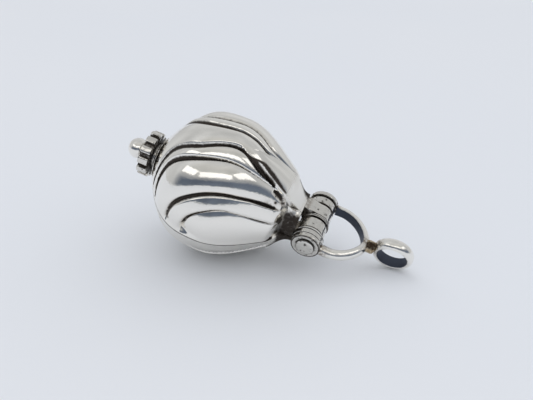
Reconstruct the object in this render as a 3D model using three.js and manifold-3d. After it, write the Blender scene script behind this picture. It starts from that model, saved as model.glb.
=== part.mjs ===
// A silver pomander pendant: a hollow, swirl-lobed bulb in two hinged halves, shut by a
// notched thumb nut, and hung from a shackle and ring that swing on the hinge pin.
// Millimetres, +Z up. The bulb lies on its belly with the ring on the same surface.
//
// Body frame: x runs along the bulb from the nut to the ring, with 0 at the widest section;
// z is square to the parting plane, towards the lid half; -y is the front.
// An angle round the bulb starts at the front seam (-y) and goes up over the lid (+z).
import * as THREE from "three";
import { mergeVertices } from "three/addons/utils/BufferGeometryUtils.js";
import Module from "manifold-3d";

const wasm = await Module();
wasm.setup();

// How the bulb lies
const PITCH = 16.4; // degrees, ring end down
const ROLL = 26.6; // degrees, front seam down
const BELLY_FLAT_DEPTH = 0.34; // worn flat on the base half, where the bulb lies

// Bulb
const BODY_RADIUS = 14.15;
const NOSE_LENGTH = 14.1; // widest section to the nose face under the nut
const NOSE_OVERRUN = 1.9; // nose face to the point where the nose curve would close
const NOSE_POWER = 2.9;
const NOSE_FULLNESS = 1.17;
const TAIL_SPREAD = 11.8; // width of the bell curve from the widest section to the neck
const TAIL_LENGTH = 16.3; // widest section to the neck's end face
const WALL = 0.8; // silver left under the deepest groove
const PARTING_GAP = 0.1;

// Swirl lobes: every groove keeps one distance from the front seam, hooks round at the nose
const HOOK_CENTRE = 4.2; // x where the hooks' straight runs begin
const HOOK_POWER = 2.3;
const GROOVE_DEPTH = 0.95;
const FIRST_LOBE = 8.3; // seam to the first groove
const WIDE_LOBE = 5.5;
const THIN_RIDGE = 2.4;
const FIRST_RIDGE = 3.4;
const GROOVE_COUNT = 8;
const RIDGE_DROP = 0.25; // a thin ridge's crest lies this much under a wide lobe's
const SEAM_FADE = 1.2; // grooves die away within this distance of the seams
const NOSE_FADE = 3; // and come up to full depth over this length from the nose face

// Leaf and neck at the hinge
const LEAF_TIP = 2.4; // x of the leaf's point on the crown
const LEAF_LEAN = 1.2; // degrees per millimetre that the keel leans to the front
const LEAF_LEAN_REACH = 35; // degrees each side of the keel that lean with it
const LEAF_SPREAD = 0.68; // growth of the leaf's rear half per millimetre
const LEAF_RISE = 0.25;
const LEAF_DISH = 0.5;
const LEAF_EDGE = 0.7; // width of the step down to the leaf at its rear edge
const KEEL_FLANK = 1.6; // fall per millimetre on the keel's front side
const KEEL_SHARE = 0.2; // place of the keel on its lobe
const SHOULDER = 11.4; // x where the lobes turn down to the neck
const SHOULDER_LENGTH = 2.5;
const NECK_HALF_WIDTH = 5;
const NECK_HALF_HEIGHT = 3.5;
const NECK_POWER = 2.6;
const NECK_BORE = 2.2;
const NECK_FLOOR = 1.3; // silver between the neck's bore and its end face

// Inner rim that locates the lid on the base
const RIM_HEIGHT = 2;
const RIM_PROUD = 0.9;
const RIM_THICKNESS = 0.7;
const RIM_CLEARANCE = 0.3;
const RIM_FROM_NOSE = 4.2;
const RIM_TO_NECK = 6.2;

// Closure
const BOSS_RADIUS = 2.6;
const BOSS_LENGTH = 0.7;
const STUD_RADIUS = 1.1;
const STUD_CLEARANCE = 0.2;
const STUD_PAST_BOSS = 1.5;
const STUD_FOOT_RADIUS = 3;
const STUD_FOOT_THICKNESS = 0.8;
const NUT_RADIUS = 4.6;
const NUT_ROOT_RADIUS = 3.85;
const NUT_THICKNESS = 2.1;
const NUT_LUGS = 12;
const NUT_LUG_SHARE = 0.58;
const NUT_RECESS_DEPTH = 0.8;
const NUT_REST_GAP = 0.1; // nut's back face to the boss's end, with the nut slackened
const BALL_RADIUS = 2.1;
const BALL_FROM_NUT = 1.75; // nut's outer face to the ball's centre

// Hinge: across the pin from the rear to the front
const HINGE_TURN = 9; // degrees that the pin stands off the parting plane
const NECK_TO_PIN = 3.05;
const PIN_RADIUS = 1.2;
const PIN_HEAD_RADIUS = 1.8;
const PIN_HEAD_HEIGHT = 0.35;
const PIN_CLEARANCE = 0.12;
const KNUCKLE_RADIUS = 2.65;
const HINGE_GAP = 0.12;
const SEAT_GAP = 0.1;
const REAR_EAR_WIDTH = 1;
const REAR_KNUCKLE_WIDTH = 2;
const MIDDLE_KNUCKLE_WIDTH = 3.1;
const WASHER_WIDTH = 0.6;
const WASHER_RADIUS = 2.85;
const FRONT_KNUCKLE_WIDTH = 2.8;
const FRONT_EAR_WIDTH = 2.7;
const EAR_RADIUS = 2.95;
const EAR_ROUND = 0.25;

// Bail and ring
const BAIL_HALF_WIDTH = 5.95; // to the middle of the band
const BAIL_STRAIGHT = 4.4; // pin to the start of the arch
const BAIL_ARCH = 6.1;
const BAIL_POWER = 1.75;
const BAIL_THICKNESS = 1.5;
const BAIL_HEIGHT = 2.2;
const RING_TURN = 79; // degrees that the ring is set across the bail's plane
const RING_SHIFT = 0.6; // ring's middle plane to the bail's axis
const RING_RADIUS = 4.05;
const RING_HOLE_RADIUS = 2.9;
const RING_HEIGHT = 2.5;
const COLLAR_LENGTH = 0.6;
const COLLAR_RADIUS = 1.25;
const COLLAR_WAIST = 1;

// Facets
const LOBE_ROWS = [0.08, KEEL_SHARE, 0.5, 0.78, 0.92, 1]; // shares of a wide lobe
const RIDGE_ROWS = [0.2, 0.5, 0.8, 1]; // shares of a thin ridge
const NECK_SIDE_STEPS = 14;
const MARCH_STEP = 0.01;
const SMALLEST_STEP = 0.1;
const INNER_TURN_STEPS = 24;
const INNER_LENGTH_STEPS = 16;
const ROUND_STEPS = 24;

const PIN_X = TAIL_LENGTH + NECK_TO_PIN;
const NOSE_X = -NOSE_LENGTH;
const BOSS_X = NOSE_X - BOSS_LENGTH;
const NUT_BACK_X = BOSS_X - NUT_REST_GAP;
const NUT_FRONT_X = NUT_BACK_X - NUT_THICKNESS;
const RING_X = PIN_X + BAIL_STRAIGHT + BAIL_ARCH + BAIL_THICKNESS / 2 + COLLAR_LENGTH
  + 2 * SEAT_GAP + RING_RADIUS;
const HALF_TURN = Math.PI;
const degrees = THREE.MathUtils.degToRad;
const mix = THREE.MathUtils.lerp;
const ease = THREE.MathUtils.smoothstep;

// Solids and meshes
function solidOf(geometry) {
  const bare = geometry.clone();
  bare.deleteAttribute("normal");
  bare.deleteAttribute("uv");
  const merged = mergeVertices(bare, 1e-4);
  return new wasm.Manifold(new wasm.Mesh({
    numProp: 3,
    vertProperties: new Float32Array(merged.attributes.position.array),
    triVerts: new Uint32Array(merged.index.array),
  }));
}

function geometryOf(solid) {
  const made = solid.getMesh();
  const geometry = new THREE.BufferGeometry();
  geometry.setAttribute("position", new THREE.BufferAttribute(made.vertProperties, 3));
  geometry.setIndex(new THREE.BufferAttribute(made.triVerts, 1));
  geometry.computeVertexNormals();
  return geometry;
}

function facets(points, triangles) {
  const whole = triangles.filter(([a, b, c]) => a !== b && b !== c && c !== a);
  const geometry = new THREE.BufferGeometry();
  geometry.setAttribute("position", new THREE.Float32BufferAttribute(points.flat(), 3));
  geometry.setIndex(whole.flat());
  geometry.computeVertexNormals();
  return geometry;
}

function piece(name, geometry, material) {
  const mesh = new THREE.Mesh(geometry, new THREE.MeshStandardMaterial(material));
  mesh.name = name;
  return mesh;
}

const POLISHED = { color: 0xc9c9c6, metalness: 1, roughness: 0.2 };
const OXIDISED = { color: 0x6d6c69, metalness: 1, roughness: 0.45 };
const GILT_SOLDER = { color: 0xa39a86, metalness: 1, roughness: 0.4 };

// The bulb's smooth outline, as a radius at each x
function envelope(x) {
  if (x > 0) return BODY_RADIUS * Math.exp(-0.5 * (x / TAIL_SPREAD) ** 2);
  const t = Math.min(-x / (NOSE_LENGTH + NOSE_OVERRUN), 0.995);
  return BODY_RADIUS * (1 - t ** NOSE_POWER) ** NOSE_FULLNESS;
}

// Length of the outline between two sections
function outlineLength(from, to) {
  const steps = 40;
  let length = 0;
  for (let i = 0; i < steps; i++) {
    const a = mix(from, to, i / steps);
    const b = mix(from, to, (i + 1) / steps);
    length += Math.hypot(b - a, envelope(b) - envelope(a));
  }
  return length;
}

// Sections at equal steps along the outline
function sections(from, to, count) {
  const whole = outlineLength(from, to);
  const places = [from];
  let x = from;
  for (let i = 1; i < count; i++) {
    const slope = (envelope(x + 0.01) - envelope(x - 0.01)) / 0.02;
    x += Math.sign(to - from) * whole / count / Math.hypot(1, slope);
    places.push(x);
  }
  places.push(to);
  return places;
}

// Groove positions: a wide lobe at the seam, then thin ridges and wide lobes by turns
const GROOVES = [FIRST_LOBE, FIRST_LOBE + FIRST_RIDGE];
while (GROOVES.length < GROOVE_COUNT) {
  const step = GROOVES.length % 2 ? THIN_RIDGE : WIDE_LOBE;
  GROOVES.push(GROOVES[GROOVES.length - 1] + step);
}
const HOOK_RADIUS = envelope(HOOK_CENTRE);
const REAR_SEAM = HALF_TURN * HOOK_RADIUS;
const KEEL = mix(GROOVES[3], GROOVES[4], KEEL_SHARE);

// Hook distances of the rows of points that run along the lobes
const ROWS = [0];
[...GROOVES, REAR_SEAM].forEach((groove, k) => {
  const shares = k % 2 ? RIDGE_ROWS : LOBE_ROWS;
  for (const share of shares) ROWS.push(mix(k ? GROOVES[k - 1] : 0, groove, share));
});

// Sections of the bulb, with the outline's length back to the start of the hooks: at equal steps
// on the neck's side, then wherever a row of points meets the seam
function outerSections() {
  const made = sections(TAIL_LENGTH, HOOK_CENTRE, NECK_SIDE_STEPS).map((x) => ({ x, back: 0 }));
  let back = 0;
  let row = 1;
  for (let x = HOOK_CENTRE; x > NOSE_X; x -= MARCH_STEP) {
    if (back >= ROWS[row]) {
      row++;
      made.push({ x, back });
    }
    back += Math.hypot(MARCH_STEP, envelope(x) - envelope(x - MARCH_STEP));
  }
  return [...made, { x: NOSE_X, back }];
}

// Distance of a point from the front seam's straight run, along the surface
function hookDistance(back, radius, angle) {
  return (back ** HOOK_POWER + (radius * angle) ** HOOK_POWER) ** (1 / HOOK_POWER);
}

function hookAngle(back, radius, distance) {
  const up = Math.max(distance ** HOOK_POWER - back ** HOOK_POWER, 0);
  return Math.min(up ** (1 / HOOK_POWER) / radius, HALF_TURN);
}

// Angles of a section's points: on their rows, and nearer to equal steps towards the nose
function rowAngles({ x, back }, noseBack) {
  const radius = envelope(Math.min(x, HOOK_CENTRE));
  const even = (back / noseBack) ** 1.5;
  const least = SMALLEST_STEP / radius;
  return ROWS.map((row, j) => {
    const share = j / (ROWS.length - 1);
    const low = even * HALF_TURN * share;
    const high = HALF_TURN - even * HALF_TURN * (1 - share);
    const angle = Math.min(Math.max(hookAngle(back, radius, row), low), high);
    if (angle < least) return 0;
    return angle > HALF_TURN - least ? HALF_TURN : angle;
  });
}

// Depth below the outline at a hook distance
function lobeDrop(distance) {
  const next = GROOVES.findIndex((groove) => groove > distance);
  if (next === 0) return GROOVE_DEPTH * (distance / GROOVES[0]) ** 4;
  const last = GROOVES[GROOVES.length - 1];
  if (next < 0) return GROOVE_DEPTH * (1 - Math.min((distance - last) / (REAR_SEAM - last), 1)) ** 4;
  const width = GROOVES[next] - GROOVES[next - 1];
  const off = Math.abs(2 * (distance - GROOVES[next - 1]) / width - 1);
  return next % 2 ? mix(RIDGE_DROP, GROOVE_DEPTH, off ** 2) : GROOVE_DEPTH * off ** 3;
}

function lobedRadius(x, distance, angle) {
  const seam = envelope(x) * Math.min(angle, HALF_TURN - angle);
  const depth = ease(seam, 0, SEAM_FADE) * mix(0.4, 1, ease(x, NOSE_X, NOSE_X + NOSE_FADE));
  return envelope(x) - depth * lobeDrop(distance);
}

function neckRadius(x, angle) {
  const width = mix(envelope(x), NECK_HALF_WIDTH, ease(x, SHOULDER, SHOULDER + SHOULDER_LENGTH));
  const height = mix(envelope(x), NECK_HALF_HEIGHT, ease(x, SHOULDER, TAIL_LENGTH));
  const along = (Math.abs(Math.cos(angle)) / width) ** NECK_POWER;
  const up = (Math.sin(angle) / height) ** NECK_POWER;
  return (along + up) ** (-1 / NECK_POWER);
}

// Angle of a point once the rows near the keel lean to the front with it
function leaned(x, angle) {
  const off = Math.abs(angle - KEEL / HOOK_RADIUS) / degrees(LEAF_LEAN_REACH);
  return angle - degrees(LEAF_LEAN) * Math.max(x - LEAF_TIP, 0) * Math.max(1 - off, 0);
}

// Leaf that runs from the neck to a point on the crown: a sharp keel, and a dished half behind it
function leafRadius(x, off, angle) {
  const rise = mix(-LEAF_RISE, LEAF_RISE, ease(x, LEAF_TIP, LEAF_TIP + 3));
  const foot = Math.max((x - SHOULDER) / (TAIL_LENGTH - SHOULDER), 0) ** 2;
  const top = mix(envelope(x) + rise, neckRadius(x, angle), foot);
  if (off < 0) return top + KEEL_FLANK * off;
  const share = Math.sqrt(Math.min(off / (LEAF_SPREAD * (x - LEAF_TIP)), 1));
  return top - LEAF_DISH * 4 * share * (1 - share);
}

// The bulb's outer radius at a section, a hook distance and an angle from the front seam
function outerRadius(x, distance, angle) {
  const turnDown = ease(x, SHOULDER, SHOULDER + SHOULDER_LENGTH);
  const plain = mix(lobedRadius(x, distance, angle), neckRadius(x, angle), turnDown);
  if (x <= LEAF_TIP) return plain;
  const off = distance - KEEL;
  const leaf = leafRadius(x, off, angle);
  if (off < 0) return Math.max(plain, leaf);
  const rear = LEAF_SPREAD * (x - LEAF_TIP);
  return mix(leaf, plain, ease(off, rear - LEAF_EDGE, rear));
}

const NECK_BORE_END = TAIL_LENGTH - NECK_FLOOR;
const INNER_NOSE_X = NOSE_X + 1.1;

// The hollow's radius at each section
function innerRadius(x) {
  const narrowing = ease(x, SHOULDER - 1, SHOULDER + SHOULDER_LENGTH);
  return mix(envelope(x) - GROOVE_DEPTH - WALL, NECK_BORE, narrowing);
}

// Adds a half ring of points; neighbours at one angle, or on the axis, share a point
function addRing(shell, x, angles, radii) {
  const made = [];
  angles.forEach((angle, i) => {
    const r = radii[i];
    if (i && (r === 0 || angle === angles[i - 1])) made.push(made[i - 1]);
    else made.push(shell.points.push([x, -r * Math.cos(angle), r * Math.sin(angle)]) - 1);
  });
  shell.rings.push(made);
}

const INNER_ANGLES = Array.from({ length: INNER_TURN_STEPS + 1 }, (_, i) => (
  HALF_TURN * i / INNER_TURN_STEPS
));

function addPlainRing(shell, x, radius) {
  addRing(shell, x, INNER_ANGLES, INNER_ANGLES.map(() => radius));
}

// Half of the bulb, above the parting plane: rings of points from the neck's middle, over the
// outside to the nose, in along the stud's channel, and back through the hollow
function halfShell(channelRadius) {
  const shell = { points: [], rings: [] };
  addPlainRing(shell, TAIL_LENGTH, 0);
  const outer = outerSections();
  const noseBack = outer[outer.length - 1].back;
  for (const section of outer) {
    const { x, back } = section;
    const radius = envelope(Math.min(x, HOOK_CENTRE));
    const angles = rowAngles(section, noseBack);
    const leaning = angles.map((angle) => leaned(x, angle));
    const radii = angles.map((angle, i) => (
      outerRadius(x, hookDistance(back, radius, angle), leaning[i])
    ));
    addRing(shell, x, leaning, radii);
  }
  addPlainRing(shell, NOSE_X, BOSS_RADIUS);
  addPlainRing(shell, BOSS_X, BOSS_RADIUS);
  addPlainRing(shell, BOSS_X, channelRadius);
  addPlainRing(shell, INNER_NOSE_X, channelRadius);
  for (const x of sections(INNER_NOSE_X, NECK_BORE_END, INNER_LENGTH_STEPS)) {
    addPlainRing(shell, x, innerRadius(x));
  }
  addPlainRing(shell, NECK_BORE_END, 0);
  return facets(shell.points, [...skin(shell), ...partingFaces(shell)]);
}

function skin({ points, rings }) {
  const triangles = [];
  for (let k = 1; k < rings.length; k++) {
    const [one, two] = [rings[k - 1], rings[k]];
    if (one.length === two.length) zipEqual(one, two, points, triangles);
    else zip(one, two, triangles);
  }
  return triangles;
}

// The two flat faces on the parting plane, front and rear
function partingFaces({ points, rings }) {
  const triangles = [];
  const front = rings.map((ring) => ring[0]);
  const rear = rings.map((ring) => ring[ring.length - 1]);
  const flat = (list) => list.map((i) => new THREE.Vector2(points[i][0], Math.abs(points[i][1])));
  for (const [a, b, c] of THREE.ShapeUtils.triangulateShape(flat(front), [])) {
    triangles.push([front[a], front[b], front[c]]);
  }
  for (const [a, b, c] of THREE.ShapeUtils.triangulateShape(flat(rear), [])) {
    triangles.push([rear[a], rear[c], rear[b]]);
  }
  return triangles;
}

// Triangles between two half rings with the same number of points, cut on the shorter diagonal
function zipEqual(one, two, points, triangles) {
  const span = (i, j) => Math.hypot(...points[i].map((value, k) => value - points[j][k]));
  for (let i = 1; i < one.length; i++) {
    const [a, b, c, d] = [one[i - 1], one[i], two[i - 1], two[i]];
    if (span(b, c) <= span(a, d)) triangles.push([a, b, c], [b, d, c]);
    else triangles.push([a, b, d], [a, d, c]);
  }
}

// Triangles between two half rings that differ in their number of points
function zip(one, two, triangles) {
  let i = 0;
  let j = 0;
  while (i < one.length - 1 || j < two.length - 1) {
    const nextOne = (i + 1) / (one.length - 1);
    const nextTwo = (j + 1) / (two.length - 1);
    if (nextOne <= nextTwo) triangles.push([one[i], one[++i], two[j]]);
    else triangles.push([one[i], two[j + 1], two[j++]]);
  }
}

// The pose in which the bulb lies, as a matrix
const POSE = new THREE.Matrix4().makeRotationFromEuler(
  new THREE.Euler(degrees(ROLL), degrees(PITCH), 0, "YXZ"),
);

function upperShell() {
  const shell = halfShell(STUD_RADIUS + STUD_CLEARANCE);
  return shell.translate(0, 0, PARTING_GAP / 2);
}

// The base half is the lid half turned half round, with a flat worn on its belly
function lowerShell() {
  const shell = halfShell(STUD_RADIUS + STUD_CLEARANCE);
  shell.translate(0, 0, PARTING_GAP / 2).rotateX(HALF_TURN);
  const posed = shell.clone().applyMatrix4(POSE);
  posed.computeBoundingBox();
  const flat = posed.boundingBox.min.z + BELLY_FLAT_DEPTH;
  const below = new THREE.BoxGeometry(8 * BODY_RADIUS, 8 * BODY_RADIUS, BODY_RADIUS);
  below.translate(0, 0, flat - BODY_RADIUS / 2).applyMatrix4(POSE.clone().invert());
  return geometryOf(solidOf(shell).subtract(solidOf(below)));
}

// Thin wall inside the base that stands up into the lid
function innerRim() {
  const from = NOSE_X + RIM_FROM_NOSE;
  const to = TAIL_LENGTH - RIM_TO_NECK;
  function outline(inset) {
    const front = [];
    for (let i = 0; i <= ROUND_STEPS; i++) {
      const t = (1 - Math.cos(HALF_TURN * i / ROUND_STEPS)) / 2;
      const x = mix(from + inset, to - inset, t);
      front.push(new THREE.Vector2(x, RIM_CLEARANCE + inset - innerRadius(x)));
    }
    const rear = front.map((p) => new THREE.Vector2(p.x, -p.y)).reverse();
    return [...front, ...rear];
  }
  const shape = new THREE.Shape(outline(0));
  shape.holes.push(new THREE.Path(outline(RIM_THICKNESS)));
  const rim = new THREE.ExtrudeGeometry(shape, { depth: RIM_HEIGHT, bevelEnabled: false });
  return rim.translate(0, 0, RIM_PROUD - RIM_HEIGHT);
}

// Turned pieces: a closed profile of (distance along the axis, radius), spun about x
function turned(profile, steps = ROUND_STEPS) {
  const lathe = new THREE.LatheGeometry(
    profile.map(([along, radius]) => new THREE.Vector2(radius, along)), steps);
  return lathe.rotateZ(-HALF_TURN / 2);
}

// Stud: threaded rod on a half-round foot inside the base half
function closureStud() {
  const tip = BOSS_X - STUD_PAST_BOSS;
  const footFront = INNER_NOSE_X + SEAT_GAP;
  const footBack = footFront + STUD_FOOT_THICKNESS;
  const rod = turned([[tip, 0], [tip, STUD_RADIUS - 0.25], [tip + 0.25, STUD_RADIUS],
    [footBack, STUD_RADIUS], [footBack, 0]]);
  const foot = halfDisc(STUD_FOOT_RADIUS, footFront, footBack);
  return geometryOf(solidOf(rod).add(solidOf(foot)));
}

function halfDisc(radius, from, to) {
  const shape = new THREE.Shape();
  shape.absarc(0, -PARTING_GAP, radius, HALF_TURN, 2 * HALF_TURN, false);
  const disc = new THREE.ExtrudeGeometry(shape, {
    depth: to - from, bevelEnabled: false, curveSegments: ROUND_STEPS / 2,
  });
  return alongX(disc).translate(from, 0, 0);
}

// Turns an extrusion drawn in (y, z) and raised along its third axis to run along x
function alongX(geometry) {
  return geometry.rotateX(HALF_TURN / 2).rotateZ(HALF_TURN / 2);
}

// Thumb nut with square-cut notches and a recess that closes over the split boss
function thumbNut() {
  const shape = new THREE.Shape();
  const pitch = 2 * HALF_TURN / NUT_LUGS;
  for (let i = 0; i < NUT_LUGS; i++) {
    const middle = i * pitch;
    const half = NUT_LUG_SHARE * pitch / 2;
    const flank = NUT_ROOT_RADIUS / NUT_RADIUS;
    const corners = [
      [-half, flank], [-half, 0.96], [-half / 2, 1], [half / 2, 1], [half, 0.96], [half, flank],
    ];
    for (const [turn, share] of corners) {
      const x = NUT_RADIUS * share * Math.cos(middle + turn);
      const y = NUT_RADIUS * share * Math.sin(middle + turn);
      if (i === 0 && turn === -half && share === flank) shape.moveTo(x, y);
      else shape.lineTo(x, y);
    }
  }
  shape.holes.push(new THREE.Path().absarc(0, 0, STUD_RADIUS + STUD_CLEARANCE, 0, 2 * HALF_TURN, true));
  const nut = new THREE.ExtrudeGeometry(shape, {
    depth: NUT_THICKNESS, bevelEnabled: false, curveSegments: ROUND_STEPS,
  });
  alongX(nut).translate(NUT_FRONT_X, 0, 0);
  const recessRadius = BOSS_RADIUS + STUD_CLEARANCE;
  const recess = turned([[NUT_BACK_X - NUT_RECESS_DEPTH, 0], [NUT_BACK_X - NUT_RECESS_DEPTH, recessRadius],
    [NUT_BACK_X + 1, recessRadius], [NUT_BACK_X + 1, 0]]);
  return geometryOf(solidOf(nut).subtract(solidOf(recess)));
}

// Ball on the nut's outer face, cut flat where it sits
function ballFinial() {
  const seat = BALL_FROM_NUT - SEAT_GAP;
  const start = Math.asin(seat / BALL_RADIUS);
  const profile = [[seat, 0]];
  for (let i = 0; i <= ROUND_STEPS / 2; i++) {
    const angle = mix(start, -HALF_TURN / 2, i / (ROUND_STEPS / 2));
    profile.push([BALL_RADIUS * Math.sin(angle), i === ROUND_STEPS / 2 ? 0 : BALL_RADIUS * Math.cos(angle)]);
  }
  return turned(profile.reverse()).translate(NUT_FRONT_X - BALL_FROM_NUT, 0, 0);
}

// Hinge stack: each piece's place along the pin, from the rear (+) to the front (-)
const STACK = [
  ["rear_ear", REAR_EAR_WIDTH], ["rear_knuckle", REAR_KNUCKLE_WIDTH],
  ["middle_knuckle", MIDDLE_KNUCKLE_WIDTH], ["hinge_washer", WASHER_WIDTH],
  ["front_knuckle", FRONT_KNUCKLE_WIDTH], ["front_ear", FRONT_EAR_WIDTH],
];
const STACK_LENGTH = STACK.reduce((sum, [, width]) => sum + width + HINGE_GAP, -HINGE_GAP);
const SPAN = {};
let place = STACK_LENGTH / 2;
for (const [name, width] of STACK) {
  SPAN[name] = [place - width, place];
  place -= width + HINGE_GAP;
}

// Turns a lathe along x to run along y, at the hinge's place on the pin
function acrossHinge(geometry) {
  return geometry.rotateZ(HALF_TURN / 2);
}

function hingePin() {
  const half = STACK_LENGTH / 2 + SEAT_GAP;
  const tip = half + PIN_HEAD_HEIGHT;
  const profile = [[-tip, 0], [-tip, PIN_HEAD_RADIUS * 0.8], [-half, PIN_HEAD_RADIUS],
    [-half, PIN_RADIUS], [half, PIN_RADIUS], [half, PIN_HEAD_RADIUS],
    [tip, PIN_HEAD_RADIUS * 0.8], [tip, 0]];
  return acrossHinge(turned(profile));
}

// A bored disc round the pin, between two places along it, with rounded outer edges
function boredDisc([from, to], radius, round) {
  const bore = PIN_RADIUS + PIN_CLEARANCE;
  const profile = [[from, bore], [from, radius - round], [from + round, radius],
    [to - round, radius], [to, radius - round], [to, bore], [from, bore]];
  return acrossHinge(turned(profile));
}

// A knuckle: a bored barrel with a tongue that reaches back to the neck, above or below the pin
function knuckle([from, to], side) {
  const back = -NECK_TO_PIN + SEAT_GAP;
  const top = NECK_HALF_HEIGHT - 0.3;
  const shape = new THREE.Shape();
  shape.moveTo(back, PARTING_GAP);
  shape.lineTo(back, top);
  const meet = degrees(75);
  shape.lineTo(KNUCKLE_RADIUS * Math.cos(meet), KNUCKLE_RADIUS * Math.sin(meet));
  shape.absarc(0, 0, KNUCKLE_RADIUS, meet, -HALF_TURN + Math.asin(PARTING_GAP / KNUCKLE_RADIUS), true);
  shape.lineTo(back, PARTING_GAP);
  shape.holes.push(new THREE.Path().absarc(0, 0, PIN_RADIUS + PIN_CLEARANCE, 0, 2 * HALF_TURN, false));
  const made = new THREE.ExtrudeGeometry(shape, {
    depth: to - from, bevelEnabled: false, curveSegments: ROUND_STEPS,
  });
  made.rotateX(HALF_TURN / 2).translate(0, to, 0);
  return side > 0 ? made : made.rotateX(HALF_TURN).translate(0, from + to, 0);
}

// Bail: a half-round band bent to a pointed arch, flat on the inside
function bailShackle() {
  const start = EAR_RADIUS + SEAT_GAP;
  const path = [];
  const straight = 3;
  for (let i = 0; i < straight; i++) path.push([mix(start, BAIL_STRAIGHT, i / straight), BAIL_HALF_WIDTH]);
  const arch = 12;
  for (let i = 0; i <= arch; i++) {
    const turn = HALF_TURN / 2 * i / arch;
    const along = Math.sin(turn) ** (2 / BAIL_POWER);
    const across = i === arch ? 0 : Math.cos(turn) ** (2 / BAIL_POWER);
    path.push([BAIL_STRAIGHT + BAIL_ARCH * along, BAIL_HALF_WIDTH * across]);
  }
  const front = path.slice(0, -1).reverse().map(([x, y]) => [x, -y]);
  return band([...path, ...front]);
}

// Sweeps the half-round section along a path in the bail's plane
function band(path) {
  const section = [[-BAIL_THICKNESS / 2, -BAIL_HEIGHT / 2], [-BAIL_THICKNESS / 2, BAIL_HEIGHT / 2]];
  const arc = 6;
  for (let i = 1; i < arc; i++) {
    const turn = HALF_TURN / 2 - HALF_TURN * i / arc;
    section.push([
      -BAIL_THICKNESS / 2 + BAIL_THICKNESS * Math.cos(turn), BAIL_HEIGHT / 2 * Math.sin(turn)]);
  }
  const points = [];
  const triangles = [];
  path.forEach(([x, y], k) => {
    const before = path[Math.max(k - 1, 0)];
    const after = path[Math.min(k + 1, path.length - 1)];
    const along = new THREE.Vector2(after[0] - before[0], after[1] - before[1]).normalize();
    for (const [out, up] of section) points.push([x - along.y * out, y + along.x * out, up]);
  });
  const n = section.length;
  for (let k = 1; k < path.length; k++) {
    for (let i = 0; i < n; i++) {
      const a = (k - 1) * n + i;
      const b = (k - 1) * n + (i + 1) % n;
      triangles.push([a, a + n, b], [b, a + n, b + n]);
    }
  }
  const last = (path.length - 1) * n;
  for (let i = 1; i < n - 1; i++) {
    triangles.push([0, i, i + 1], [last, last + i + 1, last + i]);
  }
  return facets(points, triangles);
}

// Solder collar between the bail's arch and the ring
function bailCollar() {
  const from = BAIL_STRAIGHT + BAIL_ARCH + BAIL_THICKNESS / 2 + SEAT_GAP;
  const to = from + COLLAR_LENGTH;
  const middle = (from + to) / 2;
  return turned([[from, 0], [from, COLLAR_RADIUS], [middle, COLLAR_WAIST], [to, COLLAR_RADIUS],
    [to, 0]], ROUND_STEPS / 2);
}

// Suspension ring: flat inside, rounded outside
function suspensionRing() {
  const half = RING_HEIGHT / 2;
  const profile = [[-half + 0.2, RING_HOLE_RADIUS]];
  const arc = 6;
  for (let i = 0; i <= arc; i++) {
    const turn = mix(-HALF_TURN / 2, HALF_TURN / 2, i / arc);
    const out = RING_RADIUS - RING_HOLE_RADIUS - 0.2;
    profile.push([half * Math.sin(turn), RING_HOLE_RADIUS + 0.2 + out * Math.cos(turn)]);
  }
  profile.push([half - 0.2, RING_HOLE_RADIUS], [-half + 0.2, RING_HOLE_RADIUS]);
  const ring = turned(profile, 2 * ROUND_STEPS);
  return ring.rotateY(HALF_TURN / 2);
}

// Puts every piece in its place in the body frame, and the bulb on its belly
const hinge = new THREE.Group();
hinge.position.x = PIN_X;
hinge.rotation.x = -degrees(HINGE_TURN);
hinge.add(
  piece("rear_ear", boredDisc(SPAN.rear_ear, EAR_RADIUS, EAR_ROUND), POLISHED),
  piece("rear_knuckle", knuckle(SPAN.rear_knuckle, -1), POLISHED),
  piece("middle_knuckle", knuckle(SPAN.middle_knuckle, 1), POLISHED),
  piece("hinge_washer", boredDisc(SPAN.hinge_washer, WASHER_RADIUS, 0.1), POLISHED),
  piece("front_knuckle", knuckle(SPAN.front_knuckle, -1), POLISHED),
  piece("front_ear", boredDisc(SPAN.front_ear, EAR_RADIUS, EAR_ROUND), POLISHED),
  piece("hinge_pin", hingePin(), POLISHED),
  piece("bail_shackle", bailShackle(), POLISHED),
  piece("bail_collar", bailCollar(), GILT_SOLDER),
);

const ringHolder = new THREE.Group();
ringHolder.position.x = RING_X;
ringHolder.rotation.x = -degrees(HINGE_TURN + RING_TURN);
const ring = piece("suspension_ring", suspensionRing(), POLISHED);
ring.position.z = RING_SHIFT;
ringHolder.add(ring);

const bulb = new THREE.Group();
bulb.add(
  piece("upper_shell", upperShell(), POLISHED),
  piece("lower_shell", lowerShell(), POLISHED),
  piece("inner_rim", innerRim(), OXIDISED),
  piece("closure_stud", closureStud(), OXIDISED),
  piece("thumb_nut", thumbNut(), POLISHED),
  piece("ball_finial", ballFinial(), POLISHED),
  hinge,
  ringHolder,
);
bulb.setRotationFromMatrix(POSE);

const pomander = new THREE.Group();
pomander.add(bulb);
pomander.updateMatrixWorld(true);
const box = new THREE.Box3().setFromObject(pomander, true);
bulb.position.set(-(box.min.x + box.max.x) / 2, -(box.min.y + box.max.y) / 2, -box.min.z);

export default pomander;
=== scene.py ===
import math

import bmesh
import bpy
import numpy as np
from mathutils import Matrix, Vector


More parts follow.
